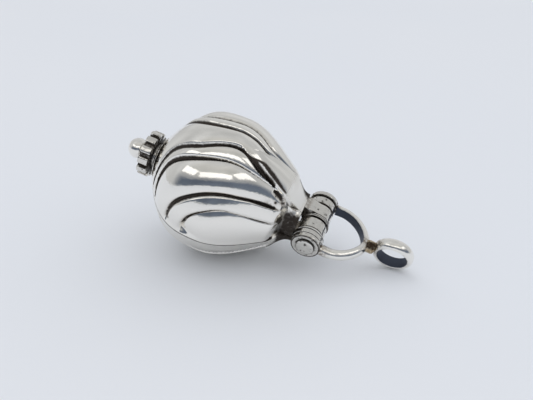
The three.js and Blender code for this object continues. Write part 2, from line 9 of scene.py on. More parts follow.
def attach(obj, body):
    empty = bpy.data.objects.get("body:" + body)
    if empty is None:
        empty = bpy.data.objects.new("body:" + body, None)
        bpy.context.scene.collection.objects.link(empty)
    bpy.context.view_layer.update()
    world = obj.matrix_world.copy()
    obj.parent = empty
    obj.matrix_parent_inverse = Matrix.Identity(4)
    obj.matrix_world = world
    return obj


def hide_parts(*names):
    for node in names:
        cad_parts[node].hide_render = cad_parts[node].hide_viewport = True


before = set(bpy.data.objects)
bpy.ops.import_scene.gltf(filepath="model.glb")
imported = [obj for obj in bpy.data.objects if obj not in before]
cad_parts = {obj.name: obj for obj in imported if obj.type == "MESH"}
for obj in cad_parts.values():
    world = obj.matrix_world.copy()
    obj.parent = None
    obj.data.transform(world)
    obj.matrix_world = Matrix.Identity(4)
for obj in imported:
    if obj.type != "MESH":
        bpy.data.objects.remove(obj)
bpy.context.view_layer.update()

# Camera: it looks down at 26 degrees from a little to the right of square on, close to the
# table. The pendant's own frames come with it: the bulb lies on its belly, ring end down.
scene = bpy.context.scene
MM = 0.001
BULB_X, BULB_Z, NOSE_UP, ROLLED = -9.0106, 13.5278, 16.4, 26.6
PIN_X, PIN_TWIST = 19.35, -9
RING_X, RING_TURN, RING_RISE = 35.45, -88, 0.6
CAMERA_AT, CAMERA_AIM, CAMERA_ROLL = (29.3, -111.31, 69.18), (-2.008, 6.328, 8.279), 1.72
FOCAL_PIXELS, PICTURE_PIXELS, SENSOR_WIDTH = 659.25, 533, 36


def turned_by(degrees, axis):
    return Matrix.Rotation(math.radians(degrees), 4, axis)


def shifted_by(x, z=0):
    return Matrix.Translation((x, 0, z))


def linked(name, data):
    """A new object in the scene."""
    made = bpy.data.objects.new(name, data)
    scene.collection.objects.link(made)
    return made


# Places for points in millimetres: on the bulb's axis, on the hinge pin and in the ring's middle
LYING = (shifted_by(BULB_X * MM, BULB_Z * MM)
         @ turned_by(NOSE_UP, "Y") @ turned_by(ROLLED, "X") @ Matrix.Scale(MM, 4))
HINGE = LYING @ shifted_by(PIN_X) @ turned_by(PIN_TWIST, "X")
RING = LYING @ shifted_by(RING_X) @ turned_by(RING_TURN, "X") @ shifted_by(0, RING_RISE)

lens = bpy.data.cameras.new("photo_view")
lens.sensor_width = SENSOR_WIDTH
lens.lens = FOCAL_PIXELS / PICTURE_PIXELS * SENSOR_WIDTH
lens.clip_start = 0.005
camera = linked("photo_view", lens)
camera.location = Vector(CAMERA_AT) * MM
sight = Vector(CAMERA_AIM) * MM - camera.location
level_view = sight.to_track_quat("-Z", "Y").to_matrix().to_4x4()
camera.rotation_euler = (level_view @ turned_by(CAMERA_ROLL, "Z")).to_euler()
scene.camera = camera

# Base half of the bulb: cast sterling silver, chased with swirled lobes and polished on the
# high parts; the grooves keep their black patina. The half lies on a flat worn on its belly.
BELLY = 14.01
NOSE_X, NOSE_CLOSES, NOSE_POWER, NOSE_BLUNTNESS = -14.1, 16.0, 2.9, 1.17
NECK_X, TAIL_SPREAD = 16.3, 11.8
SHOULDER, SHOULDER_LENGTH = 11.4, 2.5
NECK_HALF_WIDTH, NECK_HALF_HEIGHT, NECK_POWER = 5.0, 3.5, 2.6
BOSS_RADIUS, BOSS_X, CHANNEL_RADIUS = 2.6, -14.8, 1.3
HOLLOW_FROM, HOLLOW_TO, HOLLOW_INSET, NECK_BORE = -13.0, 15.0, 1.75, 2.2
PARTING_GAP = 0.1
EDGE_ROUND, EDGE_DEPTH = 0.16, 0.14
EDGE_ROWS = [0, 0.03, 0.08, EDGE_ROUND]
SECTIONS, OUTLINE_SAMPLES = 236, 8000
COARSE_STEPS, FINE_PER_COARSE = 48, 6
FINE_STEPS = FINE_PER_COARSE * COARSE_STEPS
NOT_ZERO = 0.01  # the least that anything is divided by

# Each groove's distance from the front seam in millimetres, its width in millimetres and its
# depth against the deepest, at seven stations from the nose end to the neck
GROOVES = [
    ([7.3, 8.0, 8.3, 8.9, 8.6, 7.9, 7.1],
     [0.1, 0.8, 0.55, 0.4, 0.45, 0.6, 0.1], [0.0, 0.8, 0.9, 0.7, 0.7, 0.9, 0.0]),
    ([11.0, 11.4, 11.6, 12.2, 12.8, 13.1, 12.9],
     [0.9, 1.4, 1.2, 1.0, 1.0, 1.2, 0.1], [0.6, 1.0, 1.0, 1.0, 1.0, 1.0, 0.0]),
    ([16.3, 17.5, 18.2, 18.4, 18.3, 18.3, 18.3],
     [0.8, 1.3, 1.2, 0.5, 0.3, 0.25, 0.1], [0.8, 1.0, 1.0, 0.6, 0.4, 0.2, 0.0]),
    ([18.4, 19.2, 20.3, 21.2, 19.6, 18.2, 15.4],
     [0.8, 1.4, 1.6, 1.9, 2.5, 2.5, 1.2], [0.8, 1.0, 1.0, 1.1, 1.2, 1.1, 0.5]),
    ([21.9, 24.0, 25.6, 25.7, 25.2, 27.1, 29.1],
     [0.9, 1.4, 1.5, 1.2, 1.0, 0.9, 0.8], [0.9, 1.1, 1.2, 1.1, 1.0, 0.9, 0.8]),
    ([23.6, 26.0, 27.8, 28.4, 27.5, 28.6, 31.7],
     [0.9, 1.4, 1.6, 1.8, 1.7, 1.5, 1.2], [0.9, 1.0, 1.0, 1.0, 1.0, 0.9, 0.8]),
    ([33.0, 34.2, 34.2, 35.3, 35.9, 36.8, 37.8],
     [0.6, 0.9, 0.9, 0.8, 0.7, 0.6, 0.3], [0.8, 1.0, 1.0, 0.9, 0.8, 0.7, 0.0]),
    ([35.4, 36.7, 36.7, 37.8, 38.5, 39.3, 40.4],
     [0.6, 0.8, 0.7, 0.6, 0.6, 0.6, 0.3], [0.8, 0.9, 0.9, 0.8, 0.8, 0.7, 0.0]),
]

# From the neck down to HOOK_X a groove keeps its distance from the front seam, and from there it
# hooks round the belly. The last three stations lie this far from HOOK_X towards the neck
HOOK_X, PAST_HOOKS = 4.2, [3.1, 6.2, 9.3]

# Each lobe between them, from the front seam to the rear one: its crest as a share of its width,
# its fall at the edges against its width, how flat its top is, and how low its crest lies
LOBES = [
    (0.0, 0.14, 3.0, 0.14), (0.2, 0.08, 1.3, 0.24), (0.5, 0.085, 2.2, 0.0),
    (0.85, 0.2, 2.2, 0.1), (0.6, 0.1, 2.2, 0.0), (0.35, 0.08, 2.0, 0.1),
    (0.5, 0.09, 2.2, 0.0), (0.85, 0.2, 2.2, 0.1), (1.0, 0.09, 3.5, 0.14),
]
WIDEST_LOBE = 8.3

# Leaf: angle of its keel and of its rear edge from the front seam, at places along the bulb
KEEL = ([2.1, 4.3, 6.9, 8.6, 10.4, 11.9, 13.0, 16.3], [90, 86.5, 86, 83, 80, 77, 75, 71])
LEAF_REAR = ([2.1, 3.6, 5.6, 7.4, 8.5, 10.4, 13.0, 16.3], [90.5, 94, 98, 102, 106, 112, 120, 130])
LEAF_TIP, LEAF_TIP_LENGTH, LEAF_RISE, LEAF_DISH, KEEL_FLANK = 2.1, 3, 0.25, 0.45, 1.6
NO_LEAF = -10

# Where the chasing dies out towards the seams, the nose and the neck; how black the old patina is
# along the seams and inside; how wide and dark the band behind the leaf's keel is, old patina with
# painted shade; and how dark the painted shade and how dull the surface on the neck's flanks are
FADE_FROM_SEAM, FADE_FROM_NOSE, FADE_ON_NECK = 1.2, 3, (11.8, 13.6)
KEEL_SHADE_WIDTH, KEEL_SHADE, SEAM_SHADE, FLANK_SHADE, FLANK_SATIN = 1.7, 0.8, 0.9, 0.8, 0.5
NOSE_SHADE, INSIDE_SHADE, STAIN_SPREAD = 0.7, 0.5, 1.4


def ease(value, low, high):
    """Rises smoothly from 0 at low to 1 at high."""
    share = np.clip((value - low) / (high - low), 0, 1)
    return share * share * (3 - 2 * share)


def between(one, two, share):
    return one + (two - one) * share


def smooth_curve(nodes, values, place):
    """A smooth curve through values given at uneven places."""
    nodes, values = np.asarray(nodes, float), np.asarray(values, float)
    gaps = np.diff(nodes)
    slopes = np.diff(values) / gaps
    inner = (gaps[:-1] * slopes[1:] + gaps[1:] * slopes[:-1]) / (gaps[:-1] + gaps[1:])
    tangents = np.concatenate([slopes[:1], inner, slopes[-1:]])
    place = np.clip(place, nodes[0], nodes[-1])
    k = np.clip(np.searchsorted(nodes, place, side="right") - 1, 0, len(gaps) - 1)
    f = (place - nodes[k]) / gaps[k]
    start = values[k] + f * gaps[k] * tangents[k] * (1 - f) ** 2
    bend = (values[k + 1] - values[k]) * (3 - 2 * f) - gaps[k] * tangents[k + 1] * (1 - f)
    return start + f * f * bend


def along_grooves(column, hook_turn, past_hooks):
    """A column of the grooves' table at each point, by how far along each groove it lies."""
    lines = []
    for groove in GROOVES:
        hook_length = groove[0][3] * math.pi / 2
        nodes = [-hook_length, -hook_length * 2 / 3, -hook_length / 3, 0, *PAST_HOOKS]
        place = np.where(past_hooks > 0, past_hooks, hook_length * (hook_turn * 2 / math.pi - 1))
        lines.append(smooth_curve(nodes, groove[column], place))
    return np.stack(lines)


def outline(x):
    """The bulb's radius at x: a blunt nose, and a tail that narrows like a bell."""
    nose_share = np.clip(-x / NOSE_CLOSES, 0, 0.995)
    nose = BELLY * (1 - nose_share ** NOSE_POWER) ** NOSE_BLUNTNESS
    return np.where(x > 0, BELLY * np.exp(-0.5 * (x / TAIL_SPREAD) ** 2), nose)


def even_sections(start, end):
    """Sections at equal steps along the outline, and the length from the hooks' start."""
    fine = np.linspace(start, end, OUTLINE_SAMPLES)
    steps = np.hypot(np.diff(fine), np.diff(outline(fine)))
    length = np.concatenate([[0], np.cumsum(steps)])
    x = np.interp(np.linspace(0, length[-1], SECTIONS), length, fine)
    from_hook = length - np.interp(-HOOK_X, -fine, length)
    return x, np.maximum(np.interp(-x, -fine, from_hook), 0)


def neck_radius(x, angle):
    """The radius at x and angle where the round bulb runs into the squarish neck."""
    width = between(outline(x), NECK_HALF_WIDTH, ease(x, SHOULDER, SHOULDER + SHOULDER_LENGTH))
    height = between(outline(x), NECK_HALF_HEIGHT, ease(x, SHOULDER, NECK_X))
    across = (np.abs(np.cos(angle)) / width) ** NECK_POWER
    up = (np.abs(np.sin(angle)) / height) ** NECK_POWER
    return (across + up) ** (-1 / NECK_POWER)


def ring_points(x, angle, radius):
    """Points round the bulb's axis; the angle starts at the front seam."""
    x, angle, radius = np.broadcast_arrays(x, angle, radius)
    return np.stack([x, -radius * np.cos(angle), radius * np.sin(angle)], -1).reshape(-1, 3)


def bulb_surface():
    """Points of a half bulb's outside before chasing, and what the chasing needs at each."""
    x, back = even_sections(NECK_X, NOSE_X)
    x, back = x[:, None], back[:, None]
    rows = np.array(EDGE_ROWS) / outline(x)
    shares = np.linspace(0, 1, FINE_STEPS + 3 - 2 * len(EDGE_ROWS))[1:-1]
    middle = rows[:, -1:] + shares * (math.pi - 2 * rows[:, -1:])
    angle = np.concatenate([rows, middle, math.pi - rows[:, ::-1]], 1)

    # How far each point lies from the front seam, straight across or round the hooks
    arc = outline(np.minimum(x, 0)) * angle
    beyond = x > HOOK_X
    hook_turn = np.arctan2(arc, back)
    distance = np.where(beyond, arc, np.hypot(back, arc))
    rear = np.hypot(np.where(beyond, 0, back), outline(np.minimum(x, 0)) * math.pi)
    true_size = outline(np.maximum(x, 0)) / BELLY

    # The lobe that it lies on, its place across that lobe, and how far off the next groove is
    lines, widths, depths = (along_grooves(column, hook_turn, x - HOOK_X) for column in range(3))
    lobe = (distance > lines).sum(0)
    edges = np.concatenate([np.zeros_like(lines[:1]), lines, np.broadcast_to(rear, lines[:1].shape)])
    low = np.take_along_axis(edges, lobe[None], 0)[0]
    high = np.take_along_axis(edges, lobe[None] + 1, 0)[0]
    share = np.clip((distance - low) / np.maximum(high - low, NOT_ZERO), 0, 1)
    crest, fall, fullness, sunk = (np.take(column, lobe) for column in zip(*LOBES))
    below = (crest - share) / np.maximum(crest, NOT_ZERO)
    above = (share - crest) / np.maximum(1 - crest, NOT_ZERO)
    across = np.where(share < crest, below, above)
    width = np.clip(high - low, 0, WIDEST_LOBE) * true_size
    off = np.abs(distance - lines) * true_size
    nearest = off.argmin(0)

    # The bulb before chasing: in front of the keel it drops quickly to the neck, behind it slowly
    seam_angle = np.minimum(angle, math.pi - angle)
    seam = outline(x) * seam_angle
    edge = 1 - np.clip(seam / EDGE_ROUND, 0, 1)
    keel = np.radians(smooth_curve(*KEEL, x))
    leaf_width = np.radians(smooth_curve(*LEAF_REAR, x)) * outline(x) - keel * outline(x)
    from_keel = (angle - keel) * outline(x)
    foot = between(SHOULDER + SHOULDER_LENGTH, NECK_X, ease(from_keel, -0.8, 1.2))
    plain = between(outline(x), neck_radius(x, angle), ease(x, SHOULDER, foot))
    plain = plain - EDGE_DEPTH * (1 - np.sqrt(1 - edge ** 2))

    # The leaf over it: a low tip, a steep flank up to the keel, and a dish behind the keel
    rise = between(-LEAF_RISE, LEAF_RISE, ease(x, LEAF_TIP, LEAF_TIP + LEAF_TIP_LENGTH))
    over = np.sqrt(np.clip(from_keel / np.maximum(leaf_width, 0.05), 0, 1))
    dished = rise * (1 - 0.6 * over) - LEAF_DISH * 4 * over * (1 - over)
    leaf = np.where(from_keel < 0, rise + KEEL_FLANK * from_keel, dished)
    leaf_foot = np.clip((x - SHOULDER) / (NECK_X - SHOULDER), 0, 1) ** 2
    leaf = leaf + between(outline(x), neck_radius(x, angle), leaf_foot) - plain
    on_leaf = (x > LEAF_TIP) & (from_keel < leaf_width)
    leaf = np.where(on_leaf, leaf, NO_LEAF)

    # Where the chasing dies out, where old patina and a dull surface are left, and where shade is painted
    fade = ease(seam, 0, FADE_FROM_SEAM) * between(0.4, 1, ease(x, NOSE_X, NOSE_X + FADE_FROM_NOSE))
    fade = fade * (1 - ease(x, *FADE_ON_NECK))
    behind_keel = on_leaf & (from_keel > 0.1)
    # Behind the keel a dark band: old patina in the leaf's dish together with painted shade
    band = KEEL_SHADE_WIDTH * ease(x, 2.5, 9) * (1 - 0.5 * ease(x, 9, 13))
    shade = ease(from_keel, 0.05, 0.2) * (1 - ease(from_keel, 0.5 * band, band + NOT_ZERO))
    shade = KEEL_SHADE * shade * ease(x, 2.6, 4.5) * (1 - ease(x, 12, 13.2))
    # The neck's flanks: painted shade and a painted dark reflection with some patina, and a duller surface
    flank = ease(x, 12.9, 14.0) * (1 - ease(seam_angle, 0.85, 1.2))
    seam_shade = SEAM_SHADE * edge * (x < 13)
    facts = {
        "across": across, "fullness": fullness, "lobe_fall": fall * width * MM, "crest": sunk * MM,
        "groove_off": off.min(0) * MM,
        "groove_width": np.take_along_axis(widths, nearest[None], 0)[0] * MM,
        "groove_share": np.where(behind_keel, 0, np.take_along_axis(depths, nearest[None], 0)[0]),
        "fade": fade, "leaf": leaf * MM,
        # Old patina along the seams, painted shade on the neck's flanks, and both behind the keel
        "tarnish_and_shade": np.maximum(shade, np.maximum(seam_shade, FLANK_SHADE * flank)),
        "satin": np.maximum(ease(x, 11.5, 13.5) * ease(from_keel, -0.6, 0.4), FLANK_SATIN * flank),
    }
    return x, angle, plain, facts


def bulb_faces():
    """Faces of a half bulb: skin, nose, stud channel, hollow and the flat parting faces."""
    fine, coarse, boss_rings = FINE_STEPS + 1, COARSE_STEPS + 1, 4
    faces = []

    def strip(first, second, count):
        j = np.arange(count - 1)
        faces.extend(np.stack([first + j, first + j + 1, second + j + 1, second + j], 1).tolist())

    outer = [1 + i * fine for i in range(SECTIONS + boss_rings)]
    inner = [outer[-1] + fine + i * coarse for i in range(SECTIONS)]
    last = inner[-1] + coarse
    faces.extend([0, outer[0] + j + 1, outer[0] + j] for j in range(FINE_STEPS))
    for one, two in zip(outer, outer[1:]):
        strip(one, two, fine)
    for k in range(COARSE_STEPS):
        step = [outer[-1] + FINE_PER_COARSE * k + i for i in range(FINE_PER_COARSE + 1)]
        faces.append(step + [inner[0] + k + 1, inner[0] + k])
    for one, two in zip(inner, inner[1:]):
        strip(one, two, coarse)
    faces.extend([inner[-1] + j, inner[-1] + j + 1, last] for j in range(COARSE_STEPS))
    for side in (0, 1):
        outside = [0] + [ring + side * FINE_STEPS for ring in outer[:-2]]
        inside = [last] + [ring + side * COARSE_STEPS for ring in inner[::-1]]
        inside += [outer[-1] + side * FINE_STEPS, outer[-2] + side * FINE_STEPS]
        pairs = list(zip(outside, inside))
        for (a, d), (b, c) in zip(pairs, pairs[1:]):
            faces.append([a, b, c, d] if side == 0 else [d, c, b, a])
    return faces


def add_points(mesh, name, values):
    """Stores a value for each point of a mesh under a name that materials and trees read."""
    layer = mesh.attributes.new(name, "FLOAT", "POINT")
    layer.data.foreach_set("value", np.asarray(values, np.float32).ravel())


def half_bulb(name, over, spots):
    """A half bulb in the row frame; over turns it to the base side. spots are its blemishes and
    patches of painted shade: how far along the bulb, at which angle, how large, how black and how
    brown."""
    x, angle, radius, facts = bulb_surface()
    turn = np.linspace(0, math.pi, FINE_STEPS + 1)
    coarse = np.linspace(0, math.pi, COARSE_STEPS + 1)
    hollow_x, _ = even_sections(HOLLOW_FROM, HOLLOW_TO)
    narrow = ease(hollow_x, SHOULDER - 1, SHOULDER + SHOULDER_LENGTH)
    hollow = between(outline(hollow_x) - HOLLOW_INSET, NECK_BORE, narrow)
    skin = ring_points(x, angle, radius)
    points = np.concatenate([
        [[NECK_X, 0, 0]], skin, ring_points(NOSE_X, turn, BOSS_RADIUS),
        ring_points(BOSS_X, turn, BOSS_RADIUS), ring_points(BOSS_X, turn, CHANNEL_RADIUS),
        ring_points(HOLLOW_FROM, turn, CHANNEL_RADIUS),
        ring_points(hollow_x[:, None], coarse, hollow[:, None]), [[HOLLOW_TO, 0, 0]]])
    points[:, 2] += PARTING_GAP / 2
    side = turned_by(180, "X") if over else Matrix.Identity(4)
    place = np.array(LYING @ side)
    placed = points @ place[:3, :3].T + place[:3, 3]
    mesh = bpy.data.meshes.new(name)
    mesh.from_pydata(placed.tolist(), [], bulb_faces())

    outwards = np.zeros_like(points)
    outwards[1:1 + len(skin)] = ring_points(0, angle, np.ones_like(radius)) @ place[:3, :3].T / MM
    layer = mesh.attributes.new("outwards", "FLOAT_VECTOR", "POINT")
    layer.data.foreach_set("vector", outwards.astype(np.float32).ravel())
    facts["stain"] = np.zeros_like(radius)
    for spot_x, spot_angle, size, dark, brown in spots:
        away = np.hypot(x - spot_x, (angle - math.radians(spot_angle)) * outline(x)) / size
        darkened, browned = dark * np.exp(-away ** 2), brown * np.exp(-(away / STAIN_SPREAD) ** 2)
        facts["tarnish_and_shade"] = np.maximum(facts["tarnish_and_shade"], darkened)
        facts["stain"] = np.maximum(facts["stain"], browned)
    nose_end = NOSE_SHADE * (1 - ease(x, -14.0, -13.4))
    facts["tarnish_and_shade"] = np.maximum(facts["tarnish_and_shade"], nose_end)
    for fact, values in facts.items():
        whole = np.full(len(points), INSIDE_SHADE if fact == "tarnish_and_shade" else 0, np.float32)
        whole[0] = 0
        whole[1:1 + len(skin)] = values.ravel()
        add_points(mesh, fact, whole)
    return linked(name, mesh)


def add_node(tree, kind, inputs=None, **settings):
    """Adds a node with its settings, and sets or links its inputs; a node given as an input is
    linked by its first output."""
    node = tree.nodes.new(kind)
    for setting, value in settings.items():
        setattr(node, setting, value)
    for socket, value in (inputs or {}).items():
        if isinstance(value, bpy.types.Node):
            value = value.outputs[0]
        if isinstance(value, bpy.types.NodeSocket):
            tree.links.new(value, node.inputs[socket])
        else:
            node.inputs[socket].default_value = value
    return node


def colour(code):
    """An sRGB hex colour as linear values."""
    parts = [int(code[i:i + 2], 16) / 255 for i in (1, 3, 5)]
    linear = [p / 12.92 if p <= 0.04045 else ((p + 0.055) / 1.055) ** 2.4 for p in parts]
    return (*linear, 1)


def empty_tree(owner):
    """The node tree of a material or the world, switched on and cleared."""
    owner.use_nodes = True
    owner.node_tree.nodes.clear()
    return owner.node_tree


# Patina frays at its edge and lies in pits, both drawn coarser than the real ones so that they
# show; then how deep dents and pits are, and how much rougher smudges, patina and satin are
RAGGED_SIZE, PIT_SIZE, DENT_DEPTH, PIT_DEPTH = 0.5, 0.7, 0.03 * MM, 0.06 * MM
SMUDGE_ROUGHNESS, PATINA_ROUGHNESS, SATIN_ROUGHNESS = 0.06, 0.35, 0.3


def silver_material(name, clean, dark, brown, smooth, marks, pits):
    """Silver with patina in its low parts, and painted shade where the same attribute asks for it.
    marks is the hand-worn texture's size in millimetres, and pits is how much of the surface has
    casting pits."""
    material = bpy.data.materials.new(name)
    tree = empty_tree(material)
    where = add_node(tree, "ShaderNodeTexCoord").outputs["Object"]
    patina_and_shade, stain, satin = (
        add_node(tree, "ShaderNodeAttribute", attribute_name=fact).outputs["Fac"]
        for fact in ("patina_and_shade", "stain", "satin"))
    ragged, smudges, holes = (
        add_node(tree, "ShaderNodeTexNoise", {
            "Vector": where, "Scale": 1 / MM / size, "Detail": detail, "Roughness": 0.6})
        for size, detail in ((RAGGED_SIZE, 4), (marks, 3), (PIT_SIZE, 2)))

    pitted = add_node(tree, "ShaderNodeMapRange", {
        "Value": holes, "From Min": 0.62 - pits, "From Max": 0.74 - pits},
        interpolation_type="SMOOTHSTEP")
    fraying = add_node(tree, "ShaderNodeMath", {0: ragged, 1: 0.5}, operation="SUBTRACT")
    fraying = add_node(tree, "ShaderNodeMath", {0: fraying, 1: 0.7}, operation="MULTIPLY")
    worn = add_node(tree, "ShaderNodeMath", {0: patina_and_shade, 1: fraying}, operation="ADD")
    worn = add_node(tree, "ShaderNodeMapRange", {
        "Value": worn, "From Min": 0.2, "From Max": 0.8}, interpolation_type="SMOOTHSTEP")
    in_pits = add_node(tree, "ShaderNodeMath", {0: pitted, 1: 0.8}, operation="MULTIPLY")
    # Black where the attribute asks: old patina in hollows, and painted shade and painted reflection on
    # the bulb's neck, behind its keel and on the wires' flat insides
    blackened = add_node(tree, "ShaderNodeMath", {0: worn, 1: in_pits}, operation="MAXIMUM")
    broken = add_node(tree, "ShaderNodeMapRange", {
        "Value": ragged, "From Min": 0.3, "From Max": 0.6}, interpolation_type="SMOOTHSTEP")
    browned = add_node(tree, "ShaderNodeMath", {0: stain, 1: broken}, operation="MULTIPLY")
    face = add_node(tree, "ShaderNodeMix", {"Factor": browned, 6: clean, 7: brown}, data_type="RGBA")
    whole = add_node(tree, "ShaderNodeMix", {
        "Factor": blackened, 6: face.outputs[2], 7: dark}, data_type="RGBA")

    rough = add_node(tree, "ShaderNodeMapRange", {
        "Value": smudges, "From Min": 0.3, "From Max": 0.7, "To Min": smooth,
        "To Max": smooth + SMUDGE_ROUGHNESS}, interpolation_type="SMOOTHSTEP")
    dulled = add_node(tree, "ShaderNodeMath", {0: blackened, 1: browned}, operation="MAXIMUM")
    for cause, amount in ((dulled, PATINA_ROUGHNESS), (satin, SATIN_ROUGHNESS)):
        more = add_node(tree, "ShaderNodeMath", {0: cause, 1: amount}, operation="MULTIPLY")
        rough = add_node(tree, "ShaderNodeMath", {0: rough, 1: more}, operation="ADD")
    dents = add_node(tree, "ShaderNodeBump", {
        "Height": smudges, "Strength": 1.0, "Distance": DENT_DEPTH})
    relief = add_node(tree, "ShaderNodeMath", {0: ragged, 1: 0.3}, operation="MULTIPLY")
    relief = add_node(tree, "ShaderNodeMath", {0: relief, 1: pitted}, operation="SUBTRACT")
    grain = add_node(tree, "ShaderNodeBump", {
        "Height": relief, "Strength": 0.5, "Distance": PIT_DEPTH, "Normal": dents})
    surface = add_node(tree, "ShaderNodeBsdfPrincipled", {
        "Base Color": whole.outputs[2], "Metallic": 1.0, "Roughness": rough, "Normal": grain})
    add_node(tree, "ShaderNodeOutputMaterial", {"Surface": surface})
    return material


# Sterling silver, hand polished: bright and slightly warm, with soft smudges, and black-brown
# sulphide left where the cloth does not reach; the same dark paints shade on the bulb's neck and
# behind the leaf's keel
CLEAN_SILVER, SULPHIDE, BROWN_STAIN = colour("#f7f4ee"), colour("#453f3a"), colour("#6e5a40")
polished_silver = silver_material(
    "polished_sterling_silver", CLEAN_SILVER, SULPHIDE, BROWN_STAIN, 0.05, 3.0, -0.4)

# What the chasing reads at each point and leaves off the finished piece, how deep it cuts, and
# from which angle its edges stay sharp
GROOVE_DEPTH, SHARP_CHASED = 0.5 * MM, math.radians(62)
CHASING_FACTS = ("outwards", "across", "fullness", "lobe_fall", "crest", "groove_off",
                 "groove_width", "groove_share", "fade", "leaf", "tarnish_and_shade")


def geometry_tree(name, sizes):
    """A modifier's empty tree that takes a mesh and sizes, each with its kind of socket."""
    tree = bpy.data.node_groups.new(name, "GeometryNodeTree")
    tree.is_modifier = True
    tree.interface.new_socket("Geometry", in_out="INPUT", socket_type="NodeSocketGeometry")
    for size, kind in sizes.items():
        tree.interface.new_socket(size, in_out="INPUT", socket_type=kind)
    tree.interface.new_socket("Geometry", in_out="OUTPUT", socket_type="NodeSocketGeometry")
    return tree


def chasing_tree():
    """Lobes, ridges, grooves and leaf raised or sunk along each point's outward direction."""
    tree = geometry_tree("chasing", dict.fromkeys(
        ("Roundness", "Groove Width", "Groove Depth"), "NodeSocketFloat"))
    given = add_node(tree, "NodeGroupInput").outputs
    stored = {}
    for fact in CHASING_FACTS:
        kind = "FLOAT_VECTOR" if fact == "outwards" else "FLOAT"
        stored[fact] = add_node(tree, "GeometryNodeInputNamedAttribute", {"Name": fact}, data_type=kind)

    # A groove is deepest along its middle and rises to the lobes over half its width
    half = add_node(tree, "ShaderNodeMath", {
        0: stored["groove_width"], 1: given["Groove Width"]}, operation="MULTIPLY")
    half = add_node(tree, "ShaderNodeMath", {0: half, 1: 0.5}, operation="MULTIPLY")
    bottom = add_node(tree, "ShaderNodeMath", {0: half, 1: 0.1}, operation="MULTIPLY")
    brink = add_node(tree, "ShaderNodeMath", {0: half, 1: 0.01 * MM}, operation="MAXIMUM")
    notch = add_node(tree, "ShaderNodeMapRange", {
        "Value": stored["groove_off"], "From Min": bottom, "From Max": brink,
        "To Min": 1.0, "To Max": 0.0}, interpolation_type="SMOOTHSTEP")
    notch = add_node(tree, "ShaderNodeMath", {
        0: notch, 1: stored["groove_share"]}, operation="MULTIPLY")
    cut = add_node(tree, "ShaderNodeMath", {0: notch, 1: given["Groove Depth"]}, operation="MULTIPLY")

    # A lobe falls from its crest towards both grooves, and the leaf covers what lies below it
    bend = add_node(tree, "ShaderNodeMath", {0: stored["across"]}, operation="ABSOLUTE")
    bend = add_node(tree, "ShaderNodeMath", {0: bend, 1: stored["fullness"]}, operation="POWER")
    for factor in (stored["lobe_fall"], given["Roundness"]):
        bend = add_node(tree, "ShaderNodeMath", {0: bend, 1: factor}, operation="MULTIPLY")
    drop = add_node(tree, "ShaderNodeMath", {0: bend, 1: stored["crest"]}, operation="ADD")
    drop = add_node(tree, "ShaderNodeMath", {0: drop, 1: cut}, operation="ADD")
    for factor in (stored["fade"], -1.0):
        drop = add_node(tree, "ShaderNodeMath", {0: drop, 1: factor}, operation="MULTIPLY")
    height = add_node(tree, "ShaderNodeMath", {0: drop, 1: stored["leaf"]}, operation="MAXIMUM")
    offset = add_node(tree, "ShaderNodeVectorMath", {
        0: stored["outwards"], "Scale": height}, operation="SCALE")
    moved = add_node(tree, "GeometryNodeSetPosition", {
        "Geometry": given["Geometry"], "Offset": offset})

    # The grooves' black patina, joined by the tarnish fact: old patina, and painted shade behind the keel
    # and on the neck
    dark = add_node(tree, "ShaderNodeMath", {0: notch, 1: stored["fade"]}, operation="MULTIPLY")
    dark = add_node(tree, "ShaderNodeMath", {0: dark, 1: stored["tarnish_and_shade"]}, operation="MAXIMUM")
    kept = add_node(tree, "GeometryNodeStoreNamedAttribute", {
        "Geometry": moved, "Name": "patina_and_shade", "Value": dark}, data_type="FLOAT", domain="POINT")
    whole = add_node(tree, "GeometryNodeRealizeInstances", {"Geometry": kept})
    finished = add_node(tree, "GeometryNodeSetMaterial", {
        "Geometry": whole, "Material": polished_silver})
    add_node(tree, "NodeGroupOutput", {"Geometry": finished})
    return tree


def made_by(piece, tree, sizes):
    """Runs a tree on a piece and leaves the result as its plain mesh."""
    modifier = piece.modifiers.new(tree.name, "NODES")
    modifier.node_group = tree
    for socket in tree.interface.items_tree:
        if socket.name in sizes:
            modifier[socket.identifier] = sizes[socket.name]
    evaluated = piece.evaluated_get(bpy.context.evaluated_depsgraph_get())
    mesh = bpy.data.meshes.new_from_object(evaluated)
    piece.modifiers.clear()
    piece.data = mesh
    return piece


def chased(piece):
    """Chases a half bulb and leaves its keel and its rim sharp."""
    made_by(piece, chasing, {"Roundness": 1.0, "Groove Width": 1.0, "Groove Depth": GROOVE_DEPTH})
    for fact in CHASING_FACTS:
        piece.data.attributes.remove(piece.data.attributes[fact])
    piece.data.shade_smooth()
    piece.data.set_sharp_from_angle(angle=SHARP_CHASED)
    return piece


chasing = chasing_tree()
# Its small dark spot is a casting pit; the broad one on the neck's front is painted shade
base = chased(half_bulb("base_half", True, [(13.2, 150, 0.8, 0.9, 0.3), (14.8, 158, 2.2, 0.75, 0.0)]))
# The worn flat: nothing of the belly goes below the table
places = np.empty(len(base.data.vertices) * 3, np.float32)
base.data.vertices.foreach_get("co", places)
places[2::3] = np.maximum(places[2::3], 0)
base.data.vertices.foreach_set("co", places)
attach(base, "base")
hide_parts("lower_shell")

# Inner rim and closure stud: a thin silver wall that locates the lid, and the threaded rod
# that the nut runs on. Neither is ever polished, so their silver is oxidised to a rough grey.
oxidised_silver = silver_material(
    "oxidised_silver", colour("#8b8a86"), SULPHIDE, BROWN_STAIN, 0.4, 1.5, 0.06)
for name in ("inner_rim", "closure_stud"):
    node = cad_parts[name]
    node.data.materials.clear()
    node.data.materials.append(oxidised_silver)

